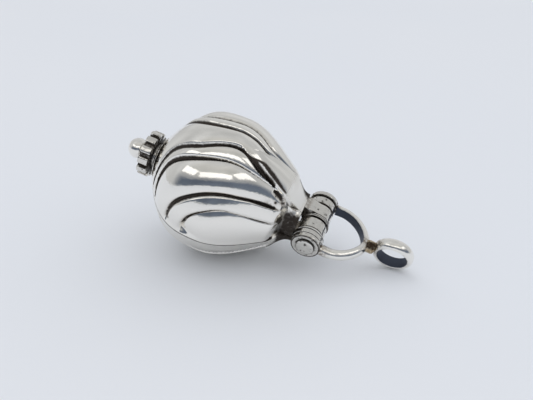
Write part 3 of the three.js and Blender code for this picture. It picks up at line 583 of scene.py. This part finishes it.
# Lid half: the same casting as the base half, turned half round, so that its leaf lies over the
# hinge. Old solder and casting pits stay brown and black round the leaf's foot; the broad dark
# patch on the neck's front is painted shade.
lid = chased(half_bulb("lid_half", False, [
    (11.5, 54, 0.35, 1.0, 0.5), (11.4, 60.4, 0.3, 0.9, 0.6), (12.6, 64.5, 0.45, 0.8, 1.0),
    (11.0, 67, 0.3, 0.6, 0.5), (12.4, 70, 0.35, 0.4, 0.8), (11.0, 53, 0.4, 0.6, 0.2),
    (-2.9, 11.5, 0.35, 0.9, 0.1), (-6.2, 6.5, 0.4, 0.8, 0.1), (10.3, 55.5, 0.5, 0.3, 0.5),
    (14.8, 20, 2.4, 0.8, 0.0), (14.4, 48, 1.2, 0.7, 0.3),
]))
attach(lid, "lid")
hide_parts("upper_shell")

# Hinge knuckles: two on the base half and one on the lid, cast in silver as bored barrels with
# a tongue, filed, and soldered to the neck. Cast silver is greyer and duller than the polished
# bulb, and pitted.
cast_silver = silver_material(
    "cast_sterling_silver", colour("#e2dfd9"), SULPHIDE, BROWN_STAIN, 0.12, 0.9, 0.05)
PIN_RADIUS, PIN_CLEARANCE, KNUCKLE_RADIUS, NECK_TO_PIN = 1.2, 0.12, 2.65, 3.05
BORE_RADIUS = PIN_RADIUS + PIN_CLEARANCE
SHARP_TURNED = math.radians(40)
TONGUE_SINK, TONGUE_DROP, BARREL_STEPS, BARREL_SECTIONS = 0.3, 0.75, 50, 8


def mesh_piece(name, points, faces, place, patina_and_shade=None, stain=None, material=None):
    """A piece from points in millimetres in its own frame, placed in the row frame."""
    mesh = bpy.data.meshes.new(name)
    mesh.from_pydata([place @ Vector(p) for p in points], [], faces)
    add_points(mesh, "patina_and_shade", np.zeros(len(points)) if patina_and_shade is None else patina_and_shade)
    add_points(mesh, "stain", np.zeros(len(points)) if stain is None else stain)
    mesh.materials.append(material or cast_silver)
    mesh.shade_smooth()
    mesh.set_sharp_from_angle(angle=SHARP_TURNED)
    return linked(name, mesh)


def closed_loops(loops, cyclic=True, capped=False):
    """Faces between loops of points of one length; cyclic joins the last loop to the first."""
    n = len(loops[0])
    points = [p for loop in loops for p in loop]
    faces = []
    for k in range(len(loops) if cyclic else len(loops) - 1):
        here, there = k * n, (k + 1) % len(loops) * n
        faces += [[here + i, here + (i + 1) % n, there + (i + 1) % n, there + i] for i in range(n)]
    if capped:
        faces += [list(range(n))[::-1], list(range(len(points) - n, len(points)))]
    return points, faces


def faced_out(mesh):
    """Merges doubled points and turns all faces outwards."""
    shape = bmesh.new()
    shape.from_mesh(mesh)
    bmesh.ops.remove_doubles(shape, verts=shape.verts, dist=1e-7)
    bmesh.ops.recalc_face_normals(shape, faces=shape.faces)
    shape.to_mesh(mesh)
    shape.free()


def knuckle(name, low, high, side, body):
    """A bored barrel from low to high along the pin, with a tongue back to the neck."""
    back = -NECK_TO_PIN + 0.02
    top = NECK_HALF_HEIGHT - TONGUE_SINK
    shape = [(back, PARTING_GAP / 2), (back, between(PARTING_GAP / 2, top, 0.5)), (back, top)]
    shape += [(between(back, 0.2, t), top - TONGUE_DROP * t ** 1.5) for t in (0.2, 0.4, 0.6, 0.8)]
    start, stop = math.radians(80), -math.pi + math.asin(PARTING_GAP / 2 / KNUCKLE_RADIUS)
    shape += [(KNUCKLE_RADIUS * math.cos(a), KNUCKLE_RADIUS * math.sin(a))
              for a in np.linspace(start, stop, BARREL_STEPS)]
    centre = np.array([-0.2, 0.3])

    def loop(y, inset):
        made = []
        for x, z in shape:
            away = np.array([x, z]) - centre
            away /= np.linalg.norm(away)
            made.append((x - away[0] * inset, y, side * (z - away[1] * inset)))
        return made

    def hole(y, radius):
        made = []
        for x, z in shape:
            turn = math.atan2(z - centre[1], x - centre[0])
            made.append((radius * math.cos(turn), y, side * radius * math.sin(turn)))
        return made

    middles = list(np.linspace(low + 0.3, high - 0.3, BARREL_SECTIONS))
    loops = [hole(low + 0.1, BORE_RADIUS), hole(low, BORE_RADIUS + 0.1), loop(low, 0.3)]
    loops += [loop(low + 0.1, 0.12), loop(low + 0.2, 0.03)] + [loop(y, 0) for y in middles]
    loops += [loop(high - 0.2, 0.03), loop(high - 0.1, 0.12), loop(high, 0.3)]
    loops += [hole(high, BORE_RADIUS + 0.1), hole(high - 0.1, BORE_RADIUS)]
    points, faces = closed_loops(loops)
    dark = [1, 1, 1, 0.95, 0.6] + [0.0] * BARREL_SECTIONS + [0.6, 0.95, 1, 1, 1]
    patina_and_shade = np.repeat(dark, len(shape))
    patina_and_shade = [p if xyz[0] > -1.5 else 0.4 * p for p, xyz in zip(patina_and_shade, points)]
    stain = [0.5 if xyz[0] < -2.2 else 0.0 for xyz in points]
    piece = mesh_piece(name, points, faces, HINGE, patina_and_shade, stain)
    faced_out(piece.data)
    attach(piece, body)
    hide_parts(name)
    piece.name = name + "_barrel"


knuckle("rear_knuckle", 3.28, 5.28, -1, "base")
knuckle("front_knuckle", -3.58, -0.78, -1, "base")
knuckle("middle_knuckle", 0.06, 3.16, 1, "lid")


# Washer: a thin ring turned from silver rod, black with old polish in its groove, that fills
# the gap between the middle and the front knuckle.
def turned_piece(name, profile, steps, place, patina_and_shade, stain=None, material=None, across=True):
    """A closed profile of (along, radius) spun round the pin, or along x where across is off."""
    loops = []
    for k in range(steps):
        turn = 2 * math.pi * k / steps
        spun = [(along, radius * math.cos(turn), radius * math.sin(turn)) for along, radius in profile]
        loops.append([(one, along, two) if across else (along, one, two) for along, one, two in spun])
    points, faces = closed_loops(loops)
    piece = mesh_piece(name, points, faces, place, patina_and_shade * steps, stain and stain * steps, material)
    faced_out(piece.data)
    return piece


def bored(low, high, radius, rounded, grooves=()):
    """Profile and patina of a bored disc with rounded edges and dark turned grooves."""
    rim = [(low + 0.05, BORE_RADIUS, 1), (low, BORE_RADIUS + 0.1, 0.8), (low, radius - 1.6 * rounded, 0.1),
           (low, radius - rounded, 0.75), (low + 0.3 * rounded, radius - 0.3 * rounded, 0.6),
           (low + rounded, radius, 0.0)]
    for place, wide, deep in grooves:
        rim += [(place - wide, radius, 0.1), (place - 0.4 * wide, radius - deep, 1.0),
                (place + 0.4 * wide, radius - deep, 1.0), (place + wide, radius, 0.1)]
    rim += [(high - rounded, radius, 0.0), (high - 0.3 * rounded, radius - 0.3 * rounded, 0.6),
            (high, radius - rounded, 0.9), (high, radius - 1.6 * rounded, 0.8),
            (high, BORE_RADIUS + 0.1, 0.8), (high - 0.05, BORE_RADIUS, 1)]
    return [(a, r) for a, r, _ in rim], [p for _, _, p in rim]


profile, patina_and_shade = bored(-0.66, -0.06, 2.85, 0.12, [(-0.36, 0.12, 0.14)])
washer = turned_piece("washer_ring", profile, 72, HINGE, patina_and_shade)
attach(washer, "base")
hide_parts("hinge_washer")

# Hinge pin: drawn silver wire through all the knuckles, its ends peened to flat heads with a
# black line round them; the front head has a small pit.
HEAD_INSIDE, HEAD_END = 6.5, 6.85
DINT_X, DINT_Z, DINT_SPREAD, DINT_DEPTH = -0.1, 0.75, 0.07, 0.12
half = [(0.0, 0.0)] + [(0.0, 0.1 * k) for k in range(1, 14)]
half += [(0.02, 1.45), (0.08, 1.62), (0.16, 1.72), (0.22, 1.77), (0.35, 1.8)]
profile = [(-HEAD_END + a, r) for a, r in half] + [(-HEAD_INSIDE, PIN_RADIUS), (HEAD_INSIDE, PIN_RADIUS)]
profile += [(HEAD_END - a, r) for a, r in half[::-1]]
patina_and_shade = [0] * 16 + [0.3, 0.9, 1, 1, 1, 1, 0.9, 0.3] + [0] * 16
pin = turned_piece("riveted_pin", profile, 64, HINGE, patina_and_shade)
for corner, value in zip(pin.data.vertices, pin.data.attributes["patina_and_shade"].data):
    local = HINGE.inverted() @ corner.co
    if local.y < -6.7:
        away = (local.x - DINT_X) ** 2 + (local.z - DINT_Z) ** 2
        dint = math.exp(-away / DINT_SPREAD)
        value.value = max(value.value, dint)
        corner.co = HINGE @ (local + Vector((0, DINT_DEPTH * dint, 0)))
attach(pin, "base")
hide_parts("hinge_pin")

# Ears of the bail: a thick turned drum in front with two black lines, and a thin one behind.
# They turn on the pin inside its heads, and the ends of the shackle are soldered to them.
EAR_RADIUS = 2.95
profile, patina_and_shade = bored(-6.4, -3.7, EAR_RADIUS, 0.3, [(-5.4, 0.12, 0.12), (-4.3, 0.16, 0.16)])
front_ear = turned_piece("front_drum", profile, 84, HINGE, patina_and_shade)
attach(front_ear, "bail")
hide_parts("front_ear")
profile, patina_and_shade = bored(5.4, 6.4, EAR_RADIUS, 0.25)
rear_ear = turned_piece("rear_drum", profile, 84, HINGE, patina_and_shade)
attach(rear_ear, "bail")
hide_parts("rear_ear")

# Shackle: half-round silver wire, flat side in, bent to a pointed arch and soldered to both
# ears. Drawn wire is smooth and unpitted; its flat inside is painted blue-black as painted shade
# and a painted reflection, and the solder at the front ear has gone brown.
silver_wire = silver_material(
    "drawn_silver_wire", CLEAN_SILVER, colour("#4d525e"), BROWN_STAIN, 0.1, 1.4, -0.4)
BAIL_HALF_WIDTH, BAIL_FOOT, BAIL_STRAIGHT, BAIL_ARCH, BAIL_POWER = 5.95, 2.82, 4.4, 6.1, 1.75
BAIL_FLAT, BAIL_HALF_HEIGHT = -0.75, 1.1
SOLDER_X, FRONT_SOLDER, REAR_SOLDER, TIP_SOLDER, SOLDER_SWELL = 2.6, 2.4, 1.0, 1.3, 0.12
path = [(x, BAIL_HALF_WIDTH) for x in np.linspace(BAIL_FOOT, BAIL_STRAIGHT, 8)[:-1]]
for turn in np.linspace(0, math.pi / 2, 34):
    path.append((BAIL_STRAIGHT + BAIL_ARCH * math.sin(turn) ** (2 / BAIL_POWER),
                 BAIL_HALF_WIDTH * max(math.cos(turn), 0) ** (2 / BAIL_POWER)))
path += [(x, -y) for x, y in path[:-1][::-1]]
# The flat inside is painted dark: painted shade and a painted reflection
section = [(BAIL_FLAT, up, 1.0) for up in (-0.9, -0.45, 0.0, 0.45, 0.9)] + [(-0.72, 1.03, 0.6)]
for turn in np.linspace(math.radians(82), -math.radians(82), 17):
    section.append((-0.65 + 1.4 * math.cos(turn), BAIL_HALF_HEIGHT * math.sin(turn), 0.0))
section.append((-0.72, -1.03, 0.6))
loops, patina_and_shade, stain = [], [], []
for k, (x, y) in enumerate(path):
    before, after = path[max(k - 1, 0)], path[min(k + 1, len(path) - 1)]
    along = Vector((after[0] - before[0], after[1] - before[1])).normalized()
    solder = max(0.0, 1 - (x - SOLDER_X) / (FRONT_SOLDER if y < 0 else REAR_SOLDER))
    swollen = 1 + SOLDER_SWELL * solder
    loops.append([(x - along.y * out, y + along.x * out, up * swollen) for out, up, _ in section])
    tip_solder = max(0.0, 1 - math.hypot(x - BAIL_STRAIGHT - BAIL_ARCH, y) / TIP_SOLDER)
    for _, _, dark in section:
        patina_and_shade.append(min(1.0, dark + 0.3 * solder))
        stain.append(max(solder, tip_solder))
points, faces = closed_loops(loops, cyclic=False, capped=True)
shackle = mesh_piece("bail_band", points, faces, HINGE, patina_and_shade, stain, silver_wire)
faced_out(shackle.data)
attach(shackle, "bail")
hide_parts("bail_shackle")

# Collar: silver solder built up in a spindle between the arch and the ring, and left as it
# flowed. It is yellower and duller than the silver, browned by the torch and darkest on top.
stained_solder = silver_material(
    "torch_stained_solder", colour("#d6cbb4"), colour("#40342a"), colour("#96784f"), 0.2, 0.9, -0.1)
COLLAR_X, COLLAR_LENGTH, COLLAR_RADIUS, COLLAR_TAPER = 10.6, 1.75, 1.25, 0.2
COLLAR_END_PATINA, COLLAR_TOP_PATINA, COLLAR_STAIN = 0.35, 0.75, 0.7
profile, patina_and_shade = [(COLLAR_X, 0.0)], [0.0]
for share in np.linspace(0, 1, 15):
    towards_end = abs(2 * share - 1)
    profile.append((COLLAR_X + COLLAR_LENGTH * share, COLLAR_RADIUS - COLLAR_TAPER * towards_end ** 4))
    patina_and_shade.append(COLLAR_END_PATINA * towards_end ** 2)
profile.append((COLLAR_X + COLLAR_LENGTH, 0.0))
patina_and_shade.append(0.0)
stain = [COLLAR_STAIN] * len(profile)
collar = turned_piece("solder_collar", profile, 40, HINGE, patina_and_shade, stain, stained_solder, across=False)
for corner, value in zip(collar.data.vertices, collar.data.attributes["patina_and_shade"].data):
    local = HINGE.inverted() @ corner.co
    on_top = float(ease(local.z - 0.5 * local.y, 0.75, 1.3))
    value.value = max(value.value, COLLAR_TOP_PATINA * on_top)
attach(collar, "bail")
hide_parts("bail_collar")

# Ring: heavy half-round silver wire, flat inside, bent round and soldered to the collar, where
# the heat has stained it. Its flat inside is painted blue-black as painted shade and a painted
# reflection.
RING_RADIUS, RING_HOLE, RING_HEIGHT, RING_STAIN = 4.05, 2.9, 2.5, 1.3
profile, patina_and_shade = [], []
for height in np.linspace(-1.08, 1.08, 7):
    profile.append((height, RING_HOLE))
    patina_and_shade.append(0.9)
for turn in np.linspace(math.radians(86), -math.radians(86), 21):
    profile.append((RING_HEIGHT / 2 * math.sin(turn), RING_HOLE + 0.18 + 0.95 * math.cos(turn)))
    patina_and_shade.append(0.0)
upright = RING @ turned_by(90, "X")
ring = turned_piece("hanging_ring", profile, 96, upright, patina_and_shade, None, silver_wire)
for corner, value in zip(ring.data.vertices, ring.data.attributes["stain"].data):
    local = upright.inverted() @ corner.co
    value.value = max(0.0, 1 - (local.x + RING_RADIUS) / RING_STAIN)
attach(ring, "bail")
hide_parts("suspension_ring")

# Thumb nut: turned silver with twelve square-filed notches, black in the notches, and a recess
# behind that closes over the split boss of both halves.
NUT_TIP, NUT_ROOT, NUT_THICK, NUT_FRONT = 4.6, 3.85, 2.1, -17.0
RECESS_RADIUS, RECESS_DEPTH = 2.8, 0.8
LUGS, LUG_SHARE = 12, 0.29
step_angle = 2 * math.pi / LUGS
lug_half = LUG_SHARE * step_angle


def nut_outline(inset):
    """One lug and half a notch on each side of it: angle, radius and patina of each point."""
    tip, root = NUT_TIP - inset, NUT_ROOT - inset
    side = lug_half - inset / NUT_TIP
    half = [(step_angle / 2, root, 0.65), (between(step_angle / 2, side, 0.6), root, 0.7),
            (side + 0.02, root, 0.9), (side, root + 0.08, 0.9), (side, between(root, tip, 0.6), 0.3),
            (side, tip - 0.1, 0.0), (side - 0.02, tip - 0.03, 0.0), (side * 0.6, tip, 0.0),
            (side * 0.25, tip, 0.0)]
    return [(-a, r, p) for a, r, p in half] + [(a, r, p) for a, r, p in half[::-1]]


def nut_circle(radius, dark):
    return [(a, radius, dark) for a, _, _ in nut_outline(0)]


# The sector's lines from the front face over the rim and into the recess, each with its depth
arcs = [
    (0, nut_circle(CHANNEL_RADIUS, 1.0)), (0, nut_circle(2.3, 1.0)), (0, nut_circle(2.9, 0.1)),
    (0, nut_outline(0.2)), (0.05, nut_outline(0.06)), (0.2, nut_outline(0)),
    (NUT_THICK - 0.2, nut_outline(0)), (NUT_THICK - 0.05, nut_outline(0.06)),
    (NUT_THICK, nut_outline(0.2)), (NUT_THICK, nut_circle(RECESS_RADIUS, 1.0)),
    (NUT_THICK - RECESS_DEPTH, nut_circle(RECESS_RADIUS, 1.0)),
    (NUT_THICK - RECESS_DEPTH, nut_circle(CHANNEL_RADIUS, 1.0)),
]
points, patina_and_shade, faces = [], [], []
for depth, arc in arcs:
    for a, r, dark in arc:
        points.append((depth, r * math.cos(a), r * math.sin(a)))
        patina_and_shade.append(dark)
count = len(arcs[0][1])
for k in range(len(arcs)):
    here, there = k * count, (k + 1) % len(arcs) * count
    faces += [[here + i, here + i + 1, there + i + 1, there + i] for i in range(count - 1)]
sector = mesh_piece("nut_sector", points, faces, Matrix.Scale(MM, 4), patina_and_shade)


def notch_tree():
    """Copies one lug and its half notches round the nut's axis, and joins them."""
    tree = geometry_tree("notches", {"Lugs": "NodeSocketInt"})
    given = add_node(tree, "NodeGroupInput").outputs
    spots = add_node(tree, "GeometryNodePoints", {"Count": given["Lugs"]})
    number = add_node(tree, "GeometryNodeInputIndex")
    turn = add_node(tree, "ShaderNodeMath", {0: number, 1: 2 * math.pi}, operation="MULTIPLY")
    turn = add_node(tree, "ShaderNodeMath", {0: turn, 1: given["Lugs"]}, operation="DIVIDE")
    about = add_node(tree, "ShaderNodeCombineXYZ", {"X": turn})
    placed = add_node(tree, "GeometryNodeInstanceOnPoints", {
        "Points": spots, "Instance": given["Geometry"], "Rotation": about})
    whole = add_node(tree, "GeometryNodeRealizeInstances", {"Geometry": placed})
    joined = add_node(tree, "GeometryNodeMergeByDistance", {
        "Geometry": whole, "Distance": 0.002 * MM})
    finished = add_node(tree, "GeometryNodeSetMaterial", {
        "Geometry": joined, "Material": cast_silver})
    add_node(tree, "NodeGroupOutput", {"Geometry": finished})
    return tree


nut = made_by(sector, notch_tree(), {"Lugs": LUGS})
nut.name = "notched_nut"
faced_out(nut.data)
nut.data.transform(LYING @ shifted_by(NUT_FRONT) @ Matrix.Scale(1 / MM, 4))
nut.data.set_sharp_from_angle(angle=SHARP_TURNED)
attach(nut, "nut")
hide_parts("thumb_nut")

# Ball: a small cast silver ball, polished like the bulb and soldered on the nut's face, with
# black left in the crevice round it.
BALL_RADIUS, BALL_X, BALL_FOOT = 2.08, -18.75, 1.55
profile = [(NUT_FRONT - 0.02, 0.0), (NUT_FRONT - 0.02, 1.5), (NUT_FRONT - 0.12, 1.42)]
patina_and_shade = [1.0] * len(profile)
for turn in np.linspace(math.asin(BALL_FOOT / BALL_RADIUS), -math.pi / 2, 34):
    profile.append((BALL_X + BALL_RADIUS * math.sin(turn), BALL_RADIUS * math.cos(turn)))
    patina_and_shade.append(float(ease(math.sin(turn), 0.35, 0.72)))
ball = turned_piece("ball", profile, 72, LYING, patina_and_shade, None, polished_silver, across=False)
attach(ball, "finial")
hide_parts("ball_finial")

# Table and light: a plain pale table that runs out of sight, and a bright, plain room. A row
# of windows behind the camera stands over a darker wall, which the silver shows as a blue band.
bpy.ops.mesh.primitive_plane_add(size=6)
table = bpy.context.object
table.name = "table"
table_top = bpy.data.materials.new("pale_table_top")
tree = empty_tree(table_top)
where = add_node(tree, "ShaderNodeTexCoord").outputs["Object"]
cloudy = add_node(tree, "ShaderNodeTexNoise", {"Vector": where, "Scale": 4.0, "Detail": 2.0})
tint = add_node(tree, "ShaderNodeMix", {
    "Factor": cloudy, 6: colour("#dfe2e5"), 7: colour("#e9e9e8")}, data_type="RGBA")
surface = add_node(tree, "ShaderNodeBsdfPrincipled", {
    "Base Color": tint.outputs[2], "Roughness": 0.6, "Specular IOR Level": 0.2})
add_node(tree, "ShaderNodeOutputMaterial", {"Surface": surface})
table.data.materials.append(table_top)

# Each window's turn from the camera's side and its width; all are lit for their size alike, and
# only the silver shows them
VIEW_AZIMUTH, WINDOW_TILT, WINDOW_DISTANCE, WINDOW_HEIGHT, WINDOW_LIGHT = 15.7, 40, 0.6, 0.16, 0.7
windows = (("left_window", -62, 0.36), ("middle_window", -3, 0.54), ("right_window", 58, 0.36))
for name, azimuth, width in windows:
    lamp = bpy.data.lights.new(name, "AREA")
    lamp.shape = "RECTANGLE"
    lamp.size, lamp.size_y = width, WINDOW_HEIGHT
    lamp.energy = WINDOW_LIGHT * math.pi * lamp.size * lamp.size_y
    lamp.color = (1.0, 0.99, 0.97)
    holder = linked(name, lamp)
    turn, tilt = math.radians(VIEW_AZIMUTH + azimuth), math.radians(WINDOW_TILT)
    towards = Vector((
        math.sin(turn) * math.cos(tilt), -math.cos(turn) * math.cos(tilt), math.sin(tilt)))
    holder.location = towards * WINDOW_DISTANCE
    holder.rotation_euler = towards.to_track_quat("Z", "Y").to_euler()
    holder.visible_diffuse = False

world = bpy.data.worlds.new("bright_room")
scene.world = world
tree = empty_tree(world)
look = add_node(tree, "ShaderNodeTexCoord").outputs["Generated"]
parts = add_node(tree, "ShaderNodeSeparateXYZ", {"Vector": look}).outputs
rays = add_node(tree, "ShaderNodeLightPath").outputs

# Walls from the horizon up on the camera's side, and an even grey behind the pendant
room = add_node(tree, "ShaderNodeValToRGB", {"Fac": parts["Z"]})
ramp = room.color_ramp
ramp.interpolation = "EASE"
stops = [(0.0, "#d4d6d8"), (0.03, "#8f969f"), (0.07, "#646d7b"), (0.3, "#5d6675"), (0.42, "#96999d"),
         (0.5, "#b0b1b2"), (0.75, "#c3c4c3"), (1.0, "#d3d3d1")]
while len(ramp.elements) < len(stops):
    ramp.elements.new(1.0)
for element, (place, code) in zip(ramp.elements, stops):
    element.position = place
    element.color = colour(code)
side_x = add_node(tree, "ShaderNodeMath", {0: parts["X"], 1: 0.27}, operation="MULTIPLY")
side_y = add_node(tree, "ShaderNodeMath", {0: parts["Y"], 1: -0.96}, operation="MULTIPLY")
side = add_node(tree, "ShaderNodeMath", {0: side_x, 1: side_y}, operation="ADD")
facing = add_node(tree, "ShaderNodeMapRange", {
    "Value": side, "From Min": -0.1, "From Max": 0.45}, interpolation_type="SMOOTHSTEP")
far = add_node(tree, "ShaderNodeMix", {
    "Factor": facing, 6: colour("#c9cbcd"), 7: room}, data_type="RGBA")

# The silver shows those walls with clouds of light on them; everything else is lit by a bright
# white room, stronger from above and from behind
clouds = add_node(tree, "ShaderNodeTexNoise", {"Vector": look, "Scale": 1.7, "Detail": 1.5})
varied = add_node(tree, "ShaderNodeMapRange", {
    "Value": clouds, "From Min": 0.3, "From Max": 0.7, "To Min": 0.82, "To Max": 1.12})
overhead = add_node(tree, "ShaderNodeMapRange", {
    "Value": parts["Z"], "From Min": 0.0, "From Max": 0.6, "To Min": 0.75, "To Max": 1.12,
}, interpolation_type="SMOOTHSTEP")
behind = add_node(tree, "ShaderNodeMapRange", {
    "Value": parts["Y"], "From Min": -1.0, "From Max": 1.0, "To Min": 0.7, "To Max": 1.3})
overhead = add_node(tree, "ShaderNodeMath", {0: overhead, 1: behind}, operation="MULTIPLY")
mirrored = add_node(tree, "ShaderNodeMath", {
    0: rays["Is Glossy Ray"], 1: rays["Is Transmission Ray"]}, operation="MAXIMUM")
picture = add_node(tree, "ShaderNodeMix", {
    "Factor": mirrored, 6: colour("#f0f3fa"), 7: far.outputs[2]}, data_type="RGBA")
level = add_node(tree, "ShaderNodeMix", {
    "Factor": mirrored, 2: overhead, 3: varied}, data_type="FLOAT")

# The camera itself sees a plain pale backdrop past the table's edge
seen = add_node(tree, "ShaderNodeMix", {
    "Factor": rays["Is Camera Ray"], 6: picture.outputs[2], 7: colour("#dadde4")}, data_type="RGBA")
strength = add_node(tree, "ShaderNodeMath", {0: level, 1: rays["Is Camera Ray"]}, operation="MAXIMUM")
backdrop = add_node(tree, "ShaderNodeBackground", {"Color": seen.outputs[2], "Strength": strength})
add_node(tree, "ShaderNodeOutputWorld", {"Surface": backdrop})

scene.view_settings.view_transform = "Standard"
